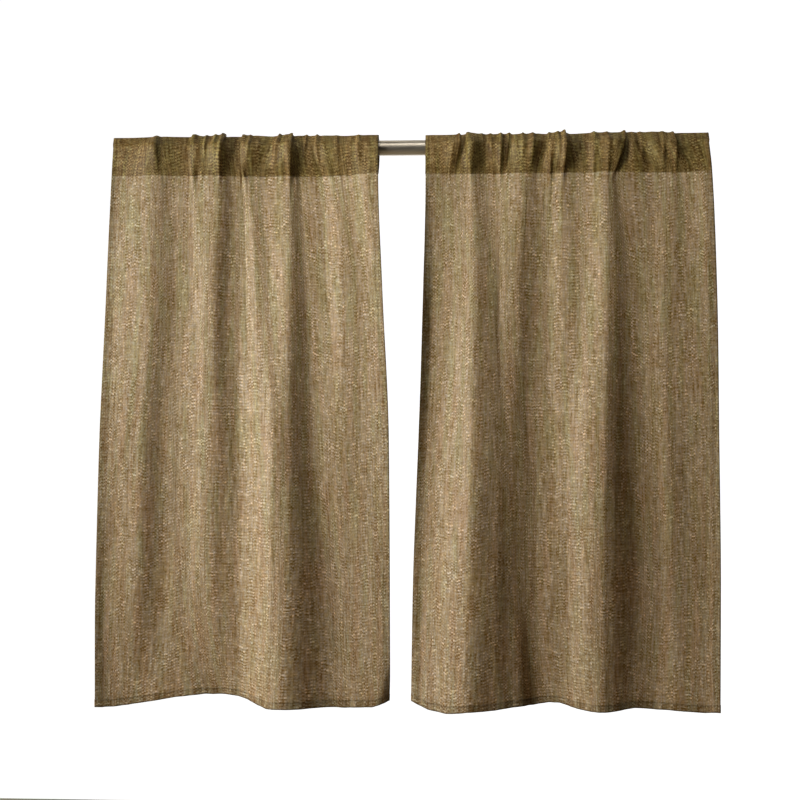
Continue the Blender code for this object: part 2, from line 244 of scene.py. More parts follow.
# The cloth's yarn and colour as seeded marks: width and height in metres, a seed and their detail.
YARN = {
    "warp sway": (0.012, 0.04, 15.2, 2.0),
    "weft sway": (0.009, 0.014, 17.7, 2.0),
    "busy": (0.01, 0.05, 6.6, 2.0),
    "warp": (0.0029, 0.04, 3.7, 2.0),
    "short warp": (0.0034, 0.011, 30.1, 2.0),
    "weft": (0.03, 0.0029, 8.1, 2.0),
    "short weft": (0.011, 0.0034, 33.6, 2.0),
    "grain": (0.0022, 0.0024, 9.4, 1.0),
    "band": (0.013, 0.25, 5.9, 2.0),
    "slub place": (0.05, 0.09, 2.2, 2.0),
    "slub": (0.018, 0.002, 4.4, 1.0),
    "nick": (0.0022, 0.016, 21.3, 1.0),
    "bright warp": (0.0023, 0.035, 41.7, 1.0),
    "hue": (0.0024, 0.007, 52.3, 1.0),
    "rose": (0.011, 0.11, 7.3, 2.0),
    "olive": (0.01, 0.12, 12.5, 2.0),
}

# Colours that the cloth's own is multiplied by.
ROSE = (1.0, 0.9, 0.84, 1.0)
OLIVE = (0.88, 0.97, 0.84, 1.0)
GOLDEN = (1.06, 0.99, 0.82, 1.0)
COOL = (0.95, 1.01, 1.14, 1.0)

# Stitch lines start this far from an edge, the seam's lies this far above the seam, and the side
# hems' stop this far short of the others. Stitches sink by this share of a layer.
STITCH_END = 1.0
SEAM_RISE = 1.0
STITCH_SHORT = 3.0
STITCH_SINK = 0.75

# The lamps: place and aim in metres from the point that the camera looks at, size, spread in
# degrees and colour. The wattage of each is the setting of the same name.
MIDDLE = (0.0, 0.0, 0.0)
UPPER_RIGHT = (0.2, 0.0, 0.3)
WHITE, WARM, AMBER = (1.0, 0.99, 0.99), (1.0, 0.96, 0.88), (1.0, 0.84, 0.58)
LAMPS = (
    ("key", (-2.1, -1.2, 0.1), MIDDLE, (1.0, 1.0), 110, WHITE),
    ("fill", (1.2, -2.6, 0.4), MIDDLE, (2.6, 2.6), 180, AMBER),
    ("strip", (0.1, -1.5, 0.98), MIDDLE, (1.5, 0.3), 180, WHITE),
    ("panel", (-0.45, -0.8, 1.0), UPPER_RIGHT, (0.5, 0.5), 60, WARM),
    ("top", (0.3, -0.75, 1.3), MIDDLE, (0.7, 0.3), 180, WHITE),
    ("overhead", (0.0, 0.25, 1.45), MIDDLE, (1.8, 0.35), 180, WARM),
)

# The floor lies below the hems and the wall stands behind: size and centre in metres, and colour.
UPRIGHT = Matrix.Rotation(math.pi / 2, 4, "X")
FLOOR = ((9.0, 7.0), (0.46, -0.6, -2.1), (0.42, 0.36, 0.26, 1.0))
WALL = ((9.0, 5.0), (0.46, 2.6, 0.4), (0.38, 0.38, 0.38, 1.0))


def monotone_slopes(x, y):
    """Slopes at each point of a curve that never overshoots them. y may hold several curves."""
    step = np.diff(x).reshape((-1,) + (1,) * (y.ndim - 1))
    rise = np.diff(y, axis=0) / step
    slopes = np.zeros_like(y)
    slopes[0] = rise[0]
    slopes[-1] = rise[-1]
    left, right = rise[:-1], rise[1:]
    wl = 2 * step[1:] + step[:-1]
    wr = step[1:] + 2 * step[:-1]
    same = left * right > 0
    safe_left = np.where(same, left, 1.0)
    safe_right = np.where(same, right, 1.0)
    slopes[1:-1] = np.where(same, (wl + wr) / (wl / safe_left + wr / safe_right), 0.0)
    return slopes


def monotone(x, y, at):
    """The curve through (x, y) read at the places in at."""
    slopes = monotone_slopes(x, y)
    i = np.clip(np.searchsorted(x, at) - 1, 0, len(x) - 2)
    shape = (-1,) + (1,) * (y.ndim - 1)
    h = (x[i + 1] - x[i]).reshape(shape)
    t = (at - x[i]).reshape(shape) / h
    from_start = (2 * t**3 - 3 * t**2 + 1) * y[i] + (t**3 - 2 * t**2 + t) * h * slopes[i]
    from_end = (3 * t**2 - 2 * t**3) * y[i + 1] + (t**3 - t**2) * h * slopes[i + 1]
    return from_start + from_end


def drift(u, v, across, along, seed):
    """Smooth seeded unevenness from about -1 to 1 over the cloth, with marks of the given sizes."""
    rows = [[noise.noise(Vector((x / across, y / along, seed))) for x in u] for y in v]
    return 1.6 * np.array(rows)


class Panel:
    """One hung panel as a grid of points, with its flat place (u across, v up) at every point."""

    def __init__(self, table, tucks, creases, corner, settings, seed):
        self.tucks = tucks
        self.creases = creases
        self.corner = corner
        self.values = {name: np.array([row[i] for row in table], float)
                       for i, name in enumerate(COLUMNS) if i > 0}
        self.count = len(table)
        self.settings = settings
        self.seed = seed
        self.lay_out_columns()
        self.lay_out_rows()
        self.turn_hems()

    def along(self, name, places):
        return np.interp(places, np.arange(self.count), self.values[name])

    def outward(self, station, places):
        name = "_puff" if station == "pocket" else "_out"
        x = self.values[station + "_x"]
        return monotone(x, self.values[station + name], self.along(station + "_x", places))

    def lay_out_columns(self):
        """Where the columns stand, spaced by the cloth between folds and not by the hung width."""
        fine = np.linspace(0, self.count - 1, FINE_STEPS * self.count)
        cloth = np.zeros(len(fine))
        for station in STATIONS:
            x, out = self.along(station + "_x", fine), self.outward(station, fine)
            cloth[1:] += np.cumsum(np.hypot(np.diff(x), np.diff(out))) / len(STATIONS)
        self.width = cloth[-1]
        edge = np.array(SIDE_STEPS + (self.settings.side_hem,))
        want = np.ones(len(fine))
        for top, seam, *_ in self.tucks:
            away = self.along("pocket_x", fine) - (top + seam) / 2
            want += CROWDING * np.exp(-(away / CROWD_REACH) ** 2)
        share = np.concatenate([[0], np.cumsum((want[1:] + want[:-1]) / 2 * np.diff(cloth))])
        first, last = np.interp((edge[-1], self.width - edge[-1]), cloth, share)
        inside = np.interp(np.linspace(first, last, self.settings.columns), share, cloth)
        self.u = np.concatenate([edge[:-1], inside, self.width - edge[-2::-1]])
        self.places = np.interp(self.u, cloth, fine)
        self.turned_columns = len(edge) - 1

    def lay_out_rows(self):
        """The rows of the sheet's face, from the hem over the crease to the seam at the back."""
        hem = self.settings.bottom_hem
        near_hem = HEM_Z + np.array(EDGE_STEPS + (hem - HEM_STEP, hem, hem + HEM_STEP))
        body = np.linspace(near_hem[-1], SEAM_Z - SEAM_REACH, self.settings.rows)
        near_seam = SEAM_Z + np.array(SEAM_STEPS)
        self.body_z = np.concatenate([near_hem[:-1], body, near_seam])
        self.turned_rows = len(EDGE_STEPS) + 1
        self.seam_row = len(self.body_z)
        base = self.face_points()
        across = np.gradient(base, axis=1)
        up = np.gradient(base, axis=0)
        normals = np.cross(across, up)
        normals /= np.linalg.norm(normals, axis=2, keepdims=True)
        run = np.linalg.norm(np.diff(base, axis=0), axis=2).mean(axis=1)
        self.v = np.concatenate([[0], np.cumsum(run)])
        self.seam_v = self.v[self.seam_row]
        relief = (self.uneven_relief() + self.tuck_relief(base) + self.crease_relief(base)
                  + self.corner_relief())
        self.points = base + (self.settings.stand_off + relief)[..., None] * normals
        self.normals = normals

    def face_points(self):
        """The CAD fold lines read on this grid: rows of points on the sheet's inner face."""
        places = self.places
        x_at = np.array([self.along(name + "_x", places) for name in STATIONS])
        out_at = np.array([self.outward(name, places) for name in STATIONS[:-1]])
        puff = self.outward("pocket", places)
        seam_out = out_at[-1]
        top_rise = LIFT_SHARE * self.along("top_rise", places)
        hem_rise = self.along("hem_rise", places)
        level = np.zeros_like(puff)
        body_x = monotone(HEIGHTS, x_at, self.body_z)
        body_out = monotone(HEIGHTS[:-1], out_at, self.body_z)
        rows = []
        for z, x, out in zip(self.body_z, body_x, body_out):
            fade = max(0.0, 1 - (z - HEM_Z) / (HEIGHTS[1] - HEM_Z)) ** 2
            rows.append((x, -out, z + hem_rise * fade))

        def pocket_x(z):
            if z <= 0:
                return monotone(HEIGHTS, x_at, np.array([z]))[0]
            flare = TOP_FLARE * z / CREASE_Z * (x_at[-1] - PAIR_MIDDLE)
            return x_at[-1] + LEAN_SHARE * z / -SEAM_Z * (x_at[-1] - x_at[-2]) + flare

        front = POCKET_HOLD + puff
        back = -(POCKET_HOLD + BACK_SHARE * puff)
        crease_y = -CREASE_SHARE * puff
        crease_z = CREASE_Z + top_rise
        layers = []
        for reach in (front, back):
            layer = []
            for z in np.linspace(SEAM_Z, 0, self.settings.pocket_rows)[:-1]:
                w = (z - SEAM_Z) / -SEAM_Z
                out = seam_out + (reach - seam_out) * w * (2 - w)
                layer.append((pocket_x(z), -out, level + z))
            for angle in np.radians(np.linspace(0, WRAP_ANGLE, WRAP_ROWS)):
                z = POCKET_HOLD * math.sin(angle)
                layer.append((pocket_x(z), -reach * math.cos(angle), level + z))
            x, y, z = layer[-1]
            for share in CROWN_SHARES:
                layer.append((x + share * (pocket_x(CREASE_Z) - x), y + share * (crease_y - y),
                              z + share * (crease_z - z)))
            layers.append(layer)
        rows += layers[0]
        rows.append((pocket_x(CREASE_Z), crease_y, crease_z - CREASE_SINK))
        rows += layers[1][::-1]
        return np.array([np.stack(row, axis=-1) for row in rows])

    def uneven_relief(self):
        """Puckers at the seam and the hem, and a soft unevenness all over."""
        v = self.v[:, None]

        def uneven(name, fade=1.0):
            height, across, along, seed = UNEVEN[name]
            return height * fade * drift(self.u, self.v, across, along, self.seed + seed)

        seam = uneven("seam", np.exp(-np.abs(v - self.seam_v) / SEAM_FADE))
        hem = uneven("hem", np.exp(-v / HEM_FADE))
        body = uneven("soft") + uneven("fine")
        return np.where(v > self.seam_v, POCKET_SOFTNESS, 1.0) * body + np.abs(seam) + hem

    def tuck_relief(self, base):
        """The narrow tucks: each rises on its left and drops on its right to a hollow."""
        crease = int(np.argmax(base[:, :, 2].mean(axis=1)))
        x, z = base[..., 0], base[..., 2]
        relief = np.zeros_like(x)
        for top, seam, left, right, height, end in self.tucks:
            share = np.clip((z - SEAM_Z) / (CREASE_Z - SEAM_Z), TUCK_LINE, 1)
            away = x - (seam + (top - seam) * share)
            wide = 1 + np.clip((SEAM_Z - z) / TUCK_SPREAD, 0, TUCK_WIDEST)
            peak = np.exp(-(away / (np.where(away < 0, left, right) * wide)) ** 2)
            beside = away - HOLLOW_PLACE * right * wide
            hollow = np.exp(-(beside / (HOLLOW_WIDTH * right * wide)) ** 2)
            fade = np.clip((z - end) / (TUCK_FADE * (CREASE_Z - end)), 0, 1) ** TUCK_POWER
            fade *= np.interp(z, [SEAM_Z - TUCK_EASE, SEAM_Z], [TUCK_BELOW, 1.0])
            relief += height * fade * (peak - HOLLOW_DEPTH * hollow)
        relief[crease] *= TUCK_AT_CREASE
        relief[crease + 1:] = 0
        return relief

    def crease_relief(self, base):
        """The fine creases, fading out at both ends and gone above the seam."""
        x, z = base[..., 0], base[..., 2]
        relief = np.zeros_like(x)
        for depth, width, line in self.creases:
            heights, places = np.array(line).T
            away = np.abs(x - np.interp(z, heights, places)) / width
            fade = np.clip((z - heights[0]) / CREASE_FADE_LOW, 0, 1)
            fade = fade * np.clip((heights[-1] - z) / CREASE_FADE_HIGH, 0, 1)
            relief -= depth * fade * np.exp(-away)
        relief[self.seam_row:] = 0
        return relief

    def corner_relief(self):
        """The lower right corner, where it turns back a little."""
        depth, wide, high = self.corner
        share = 1 - (self.width - self.u[None, :]) / wide - self.v[:, None] / high
        return -depth * np.clip(share, 0, 1) ** CORNER_POWER

    def turn_hems(self):
        """Folds the side and bottom hems back, and lays the pocket's back layer to the sheet."""
        layer = self.settings.layer
        n, m = self.turned_columns, self.turned_rows
        ease = np.array(TURN_EASE)
        columns = [*range(n, 0, -1), *range(len(self.u)),
                   *range(len(self.u) - 2, len(self.u) - 2 - n, -1)]
        side = layer * np.concatenate([ease[n - 1::-1], np.zeros(len(self.u)), ease[:n]])
        rows = [*range(m, 0, -1), *range(len(self.points))]
        down = layer * np.concatenate([ease[m - 1::-1], np.zeros(len(self.points))])
        pick = np.ix_(rows, columns)
        sunk = down[:, None] + side[None, :]
        self.grid = self.points[pick] - sunk[..., None] * self.normals[pick]
        self.grid[-1, :, 1] += 2 * layer
        right = 2 * self.width - self.u[-2:-2 - n:-1]
        self.grid_u = np.concatenate([-self.u[n:0:-1], self.u, right])
        self.grid_v = np.concatenate([-self.v[m:0:-1], self.v])

    def read(self, u, v):
        """The face's point and its outward normal at flat place u, v."""
        found = []
        for source in (self.points, self.normals):
            i = np.interp(v, self.v, np.arange(len(self.v)))
            j = np.interp(u, self.u, np.arange(len(self.u)))
            i0, j0 = min(int(i), len(self.v) - 2), min(int(j), len(self.u) - 2)
            a, b = i - i0, j - j0
            low = source[i0, j0] * (1 - b) + source[i0, j0 + 1] * b
            high = source[i0 + 1, j0] * (1 - b) + source[i0 + 1, j0 + 1] * b
            found.append(Vector(low * (1 - a) + high * a))
        return found[0], found[1].normalized()


class Number:
    """A number that varies over a surface. Arithmetic on it adds Math nodes."""

    def __init__(self, finish, socket):
        self.finish = finish
        self.socket = socket

    def __add__(self, other):
        return self.finish.math("ADD", self, other)

    def __radd__(self, other):
        return self.finish.math("ADD", other, self)

    def __sub__(self, other):
        return self.finish.math("SUBTRACT", self, other)

    def __rsub__(self, other):
        return self.finish.math("SUBTRACT", other, self)

    def __mul__(self, other):
        return self.finish.math("MULTIPLY", self, other)

    def __rmul__(self, other):
        return self.finish.math("MULTIPLY", other, self)

    def __truediv__(self, other):
        return self.finish.math("DIVIDE", self, other)

    def __pow__(self, other):
        return self.finish.math("POWER", self, other)

    def __abs__(self):
        return self.finish.math("ABSOLUTE", self)


class Finish:
    """A material built up from nodes, with its Principled shader at hand."""

    def __init__(self, name):
        self.material = bpy.data.materials.new(name)
        self.material.use_nodes = True
        self.tree = self.material.node_tree
        self.shader = self.tree.nodes["Principled BSDF"]
        self.output = self.tree.nodes["Material Output"]

    def node(self, kind, settings=None, values=None):
        """Any node: its settings first, then its sockets' values or links by name or number."""
        made = self.tree.nodes.new(kind)
        for name, value in (settings or {}).items():
            setattr(made, name, value)
        for key, value in (values or {}).items():
            self.feed(made.inputs[key], value)
        return made

    def feed(self, socket, value):
        if isinstance(value, Number):
            value = value.socket
        if isinstance(value, bpy.types.NodeSocket):
            self.tree.links.new(value, socket)
        else:
            socket.default_value = value

    def math(self, operation, *values):
        made = self.node("ShaderNodeMath", {"operation": operation}, dict(enumerate(values)))
        return Number(self, made.outputs[0])

    def blend(self, share, first, second, kind="MIX"):
        """Two colours mixed by share."""
        made = self.node("ShaderNodeMix", {"data_type": "RGBA", "blend_type": kind},
                         {0: share, 6: first, 7: second})
        return made.outputs[2]

    def shaded(self, color, amount):
        """A colour made lighter or darker by a number."""
        color = color[:3] if isinstance(color, tuple) else color
        made = self.node("ShaderNodeVectorMath", {"operation": "SCALE"},
                         {0: color, "Scale": amount})
        return made.outputs[0]

    def step(self, value, low, high):
        """0 below low, 1 above high and smooth between."""
        made = self.node("ShaderNodeMapRange", {"interpolation_type": "SMOOTHSTEP", "clamp": True},
                         {"Value": value, "From Min": low, "From Max": high})
        return Number(self, made.outputs[0])

    def mottle(self, x, y, wide, tall, seed, detail=2.0):
        """Seeded cloudiness from about -1 to 1, with marks of the given width and height."""
        place = self.node("ShaderNodeCombineXYZ", None,
                          {0: x / wide + seed, 1: y / tall + 2 * seed})
        made = self.node("ShaderNodeTexNoise", {"noise_dimensions": "2D"},
                         {"Vector": place.outputs[0], "Scale": 1.0, "Detail": detail})
        return (Number(self, made.outputs[0]) - 0.5) * 4.0

    def lot(self, x, y):
        """A seeded random number from 0 to 1 for each whole x, y."""
        place = self.node("ShaderNodeCombineXYZ", None, {0: x, 1: y})
        made = self.node("ShaderNodeTexWhiteNoise", {"noise_dimensions": "2D"},
                         {"Vector": place.outputs[0]})
        return Number(self, made.outputs[0])


def rgb(red, green, blue):
    """A colour given in screen values of 0 to 255, as Blender's linear colour."""
    found = []
    for value in (red / 255, green / 255, blue / 255):
        found.append(value / 12.92 if value <= 0.04045 else ((value + 0.055) / 1.055) ** 2.4)
    return (*found, 1.0)


def linen_finish(name, settings, seam_v, width):
    """Plain weave of mixed olive, tan and rose-brown yarn; painted shade where it lies double."""
    cloth = Finish(name)
    step = cloth.step
    place = cloth.node("ShaderNodeUVMap", {"uv_map": "flat"})
    parts = cloth.node("ShaderNodeSeparateXYZ", None, {0: place.outputs[0]})
    u, v = Number(cloth, parts.outputs[0]), Number(cloth, parts.outputs[1])
    yarn = {key: cloth.mottle(u, v, *marks) for key, marks in YARN.items()}

    # The weave: where the warp lies over the weft, and a random number for each crossing.
    pitch = settings.thread * MM
    across = u + yarn["warp sway"] * 0.0006
    along = v + yarn["weft sway"] * 0.0012
    warp = cloth.math("FLOOR", across / pitch)
    turns = along / (2 * pitch) + warp * 0.5 + (cloth.lot(warp, 3.0) - 0.5) * settings.uneven
    ribs = abs(cloth.math("SINE", across * (math.pi / pitch)))
    over = step(cloth.math("SINE", turns * (2 * math.pi)) * ribs, -0.4, 0.7)
    cell = cloth.lot(warp, cloth.math("FLOOR", turns))

    # The yarn: how pale each spot is.
    busy = step(yarn["busy"], -0.6, 1.0)
    warp_tone = yarn["warp"] * 0.17 + yarn["short warp"] * 0.08
    weft_tone = yarn["weft"] * 0.1 + yarn["short weft"] * 0.07
    speck = (cell ** 7.0) * over * (0.25 + busy * 0.75)
    gap = ((1 - cell) ** 4.0) * (1 - over)
    grain = yarn["grain"] * (0.06 + busy * 0.15)
    slub = step(yarn["slub"], 0.55, 1.15) * (step(yarn["slub place"], -0.5, 0.9) * (1.15 - v))
    nick = step(yarn["nick"], 0.7, 1.25)
    bright_warp = step(yarn["bright warp"], 0.7, 1.25) * (0.3 + over * 0.7)
    mixed = (warp_tone + weft_tone + grain + yarn["band"] * 0.07
             + (over - 0.5) * (0.05 + busy * 0.33) + speck * 1.6 + slub * 0.65
             + bright_warp * 0.4 - gap * 0.15 - nick * 0.2)

    # Painted shade where cloth lies double, at the right and bottom edges and in the stitch dip.
    hem, low_hem = settings.side_hem * MM, settings.bottom_hem * MM
    from_right = abs(u - width * MM)
    from_side = cloth.math("MINIMUM", abs(u), from_right)
    side = 1 - step(from_side, hem - 0.0008, hem + 0.0004)
    low = 1 - step(abs(v), low_hem - 0.0008, low_hem + 0.0004)
    pocket = step(v, (seam_v - 1.2) * MM, (seam_v + 0.6) * MM)
    # Painted shade: doubled cloth is darkened for the light that it lets through less.
    doubled_shade = cloth.math("MAXIMUM", cloth.math("MAXIMUM", side * 0.3, low * 0.4), pocket)
    # Painted shade along the right and bottom edges, where the turned edge faces away from the
    # light.
    rim = 1 - step(cloth.math("MINIMUM", from_right, abs(v)), 0.001, 0.003)
    # Painted shade in the dip along the bottom hem's stitch line.
    stitch_dip_shade = 1 - step(abs(abs(v) - low_hem + settings.stitch_inset * MM), 0.0006, 0.0022)

    # The colour: from dark to pale yarn, with rose, olive, golden and cool threads.
    tone = 0.36 + mixed * (1 + doubled_shade * 0.7)
    hue = step(yarn["hue"], -1.1, 1.1)
    rose = step(yarn["rose"], -0.6, 0.9) * (1.25 - v * 0.9)
    olive = step(yarn["olive"], -0.4, 0.9) * (0.6 + v * 0.9)
    color = cloth.blend(tone, tuple(settings.dark), tuple(settings.pale))
    color = cloth.blend(rose, color, ROSE, "MULTIPLY")
    color = cloth.blend(olive, color, OLIVE, "MULTIPLY")
    color = cloth.blend(hue, cloth.blend(1.0, color, GOLDEN, "MULTIPLY"),
                        cloth.blend(1.0, color, COOL, "MULTIPLY"))
    # Painted shade: doubled parts and the right and bottom edges take the doubled tint.
    darker = cloth.math("MAXIMUM", doubled_shade, rim * 0.6)
    color = cloth.blend(darker, color, tuple(settings.doubled_shade), "MULTIPLY")
    # Painted shade: the edges and the stitch dip are darkened further.
    final = cloth.shaded(color, 1 - rim * 0.5 - stitch_dip_shade * 0.25)
    height = over * 0.7 + (warp_tone + weft_tone) * 1.5 + speck * 0.6 + slub * 0.8 + grain
    bump = cloth.node("ShaderNodeBump", None,
                      {"Height": height, "Strength": 0.45, "Distance": 0.0005})
    cloth.feed(cloth.shader.inputs["Base Color"], final)
    cloth.feed(cloth.shader.inputs["Normal"], bump.outputs[0])
    cloth.shader.inputs["Roughness"].default_value = 0.6
    cloth.shader.inputs["Specular IOR Level"].default_value = 0.3

    # Light that passes through from behind.
    inside = cloth.shaded(tuple(settings.through), 0.7 + tone * 0.8)
    through = cloth.node("ShaderNodeBsdfTranslucent", None, {"Color": inside})
    share = settings.sheer * (1 - doubled_shade * 0.3)
    both = cloth.node("ShaderNodeMixShader", None,
                      {0: share, 1: cloth.shader.outputs[0], 2: through.outputs[0]})
    cloth.feed(cloth.output.inputs["Surface"], both.outputs[0])
    return cloth.material


def thread_finish(name, settings):
    """Sewing thread: fine twisted cotton, a little darker than the cloth."""
    thread = Finish(name)
    place = thread.node("ShaderNodeTexCoord")
    parts = thread.node("ShaderNodeSeparateXYZ", None, {0: place.outputs["Object"]})
    x, z = Number(thread, parts.outputs[0]), Number(thread, parts.outputs[2])
    twist = thread.mottle(x, z, 0.0006, 0.0006, 2.9)
    wear = thread.mottle(x, z, 0.03, 0.03, 5.1)
    color = thread.shaded(tuple(settings.thread_color), 1 + twist * 0.14 + wear * 0.1)
    thread.feed(thread.shader.inputs["Base Color"], color)
    thread.shader.inputs["Roughness"].default_value = 0.75
    return thread.material


def nickel_finish(name, settings):
    """Satin nickel drawn along the rod, with fine lengthwise lines."""
    metal = Finish(name)
    place = metal.node("ShaderNodeTexCoord")
    parts = metal.node("ShaderNodeSeparateXYZ", None, {0: place.outputs["Object"]})
    x, y, z = (Number(metal, socket) for socket in parts.outputs)
    around = metal.math("ARCTAN2", y, z) * (ROD_RADIUS * MM)
    lines = metal.mottle(around, x, 0.00025, 0.03, 1.1)
    cloud = metal.mottle(around, x, 0.01, 0.06, 4.2)
    color = metal.shaded(tuple(settings.color), 1 + lines * 0.05)
    metal.feed(metal.shader.inputs["Base Color"], color)
    metal.feed(metal.shader.inputs["Roughness"], settings.roughness + lines * 0.05 + cloud * 0.03)
    bump = metal.node("ShaderNodeBump", None,
                      {"Height": lines, "Strength": 0.15, "Distance": 0.00005})
    metal.feed(metal.shader.inputs["Normal"], bump.outputs[0])
    metal.shader.inputs["Metallic"].default_value = 1.0
    return metal.material


def add_piece(name, bm, material):
    """A mesh object at the origin that rides on the part's one body."""
    mesh = bpy.data.meshes.new(name)
    bm.to_mesh(mesh)
    bm.free()
    mesh.materials.append(material)
    mesh.polygons.foreach_set("use_smooth", [True] * len(mesh.polygons))
    obj = bpy.data.objects.new(name, mesh)
    bpy.context.scene.collection.objects.link(obj)
    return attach(obj, "root")


def cloth_mesh(panel):
    """A flat grid with its flat places as UVs, moved point by point to where the cloth hangs."""
    rows, columns = panel.grid.shape[:2]
    bm = bmesh.new()
    bmesh.ops.create_grid(bm, x_segments=columns - 1, y_segments=rows - 1, size=0.5)
    spots = [(round((vert.co.y + 0.5) * (rows - 1)), round((vert.co.x + 0.5) * (columns - 1)))
             for vert in bm.verts]
    layer = bm.loops.layers.uv.new("flat")
    bm.verts.index_update()
    for face in bm.faces:
        for loop in face.loops:
            row, column = spots[loop.vert.index]
            loop[layer].uv = (panel.grid_u[column] * MM, panel.grid_v[row] * MM)
    for vert, (row, column) in zip(bm.verts, spots):
        vert.co = panel.grid[row, column] * MM
    return bm


def stitch_lines(panel, settings):
    """Each line of stitches as flat places along it: the pocket's seam, then the hems."""
    inset = settings.stitch_inset
    start, end = STITCH_END, panel.width - STITCH_END
    top = panel.seam_v + SEAM_RISE
    rise = settings.bottom_hem - inset
    lines = [((start, top), (end, top)), ((start, rise), (end, rise))]
    for u in (settings.side_hem - inset, panel.width - settings.side_hem + inset):
        lines.append(((u, rise + STITCH_SHORT), (u, top - STITCH_SHORT)))
    for (u0, v0), (u1, v1) in lines:
        count = int(math.hypot(u1 - u0, v1 - v0) / settings.stitch_pitch)
        yield [(u0 + (u1 - u0) * k / count, v0 + (v1 - v0) * k / count) for k in range(count + 1)]


def stitch_mesh(panel, settings):
    """Lock stitches that go through both layers, so each one shows at the front and at the back."""
    places = []
    for line in stitch_lines(panel, settings):
        for start, end in zip(line, line[1:]):
            at, normal = panel.read((start[0] + end[0]) / 2, (start[1] + end[1]) / 2)
            along = panel.read(*end)[0] - panel.read(*start)[0]
            along = (along - along.dot(normal) * normal).normalized()
            turn = Matrix((along, normal.cross(along), normal)).transposed().to_4x4()
            size = Matrix.Diagonal((settings.stitch_length / 2, settings.stitch_width / 2,
                                    settings.stitch_height / 2, 1.0))
            spot = at - normal * (settings.layer * STITCH_SINK)
            places.append(Matrix.Scale(MM, 4) @ Matrix.Translation(spot) @ turn @ size)
    bm = bmesh.new()
    bmesh.ops.create_uvsphere(bm, u_segments=6, v_segments=4, radius=1.0)
    index = bm.verts.layers.int.new("stitch")
    count = 1
    while count < len(places):
        made = bmesh.ops.duplicate(bm, geom=bm.verts[:] + bm.edges[:] + bm.faces[:])
        for item in made["geom"]:
            if isinstance(item, bmesh.types.BMVert):
                item[index] += count
        count *= 2
    spare = [vert for vert in bm.verts if vert[index] >= len(places)]
    bmesh.ops.delete(bm, geom=spare, context="VERTS")
    for vert in bm.verts:
        vert.co = places[vert[index]] @ vert.co
    return bm


def whole(name, description, default, low, high):
    """A setting that is a whole number."""
    return bpy.props.IntProperty(name=name, description=description, default=default, min=low,
                                 max=high)


def number(name, description, default, low, high, **more):
    """A setting that is any number."""
    return bpy.props.FloatProperty(name=name, description=description, default=default, min=low,
                                   max=high, **more)


def tint(name, description, default):
    """A setting that is a colour."""
    return bpy.props.FloatVectorProperty(name=name, description=description, default=default,
                                         size=4, subtype="COLOR")


class ClothSettings(bpy.types.PropertyGroup):
    """The cloth and its sewing. Lengths are millimetres of real cloth."""

    columns: whole("Columns", "Grid columns between the side hems", 270, 40, 400)
    rows: whole("Rows", "Grid rows between the hem and the seam", 92, 40, 400)
    pocket_rows: whole("Pocket rows", "Rows from the seam to the rod's height", 16, 4, 60)
    thickness: number("Thickness", "Thickness of one layer in mm", 0.5, 0.1, 1.2)
    layer: number("Layer", "How far a turned layer lies behind in mm", 0.75, 0.2, 2.0)
    stand_off: number("Stand off", "Face's distance off the solid's inner face", 0.85, 0.0, 3.0)
    side_hem: number("Side hem", "Width of the side hems in mm", 14.0, 5.0, 40.0)
    bottom_hem: number("Bottom hem", "Height of the bottom hem in mm", 12.0, 6.0, 60.0)
    sheer: number("Sheer", "Share of light that passes one layer", 0.28, 0.0, 1.0, subtype="FACTOR")
    thread: number("Thread pitch", "Distance between threads in mm", 2.6, 0.3, 6.0)
    uneven: number("Uneven yarn", "How far threads shift out of step", 0.9, 0.0, 1.0,
                   subtype="FACTOR")
    dark: tint("Dark yarn", "Amber brown of the darkest yarn", rgb(120, 92, 42))
    pale: tint("Pale yarn", "Flax colour of the lightest yarn", rgb(214, 199, 170))
    # Painted shade: the tint that doubled cloth is darkened by, for the light it lets through less.
    doubled_shade: tint("Doubled cloth", "What a doubled layer darkens to", (0.52, 0.445, 0.235, 1.0))
    through: tint("Through light", "Tint of light through the cloth", rgb(188, 150, 34))
    thread_color: tint("Thread", "Sewing thread", rgb(130, 108, 74))
    stitch_pitch: number("Stitch pitch", "From stitch to stitch in mm", 3.2, 1.0, 10.0)
    stitch_length: number("Stitch length", "Visible length in mm", 2.7, 0.5, 10.0)
    stitch_width: number("Stitch width", "Thread width in mm", 0.5, 0.1, 2.0)
    stitch_height: number("Stitch height", "Through both layers, in mm", 1.9, 0.2, 4.0)
    stitch_inset: number("Stitch inset", "From a hem's turned edge in mm", 1.8, 0.2, 6.0)


class RodSettings(bpy.types.PropertyGroup):
    """The metal rod."""

    segments: whole("Segments", "Sides round the rod", 96, 16, 256)
    edge: number("Edge", "Rounding of the end's rim in mm", 0.5, 0.0, 3.0)
    roughness: number("Roughness", "Satin of the metal", 0.34, 0.0, 1.0, subtype="FACTOR")
    color: tint("Metal", "Nickel colour", rgb(206, 196, 178))


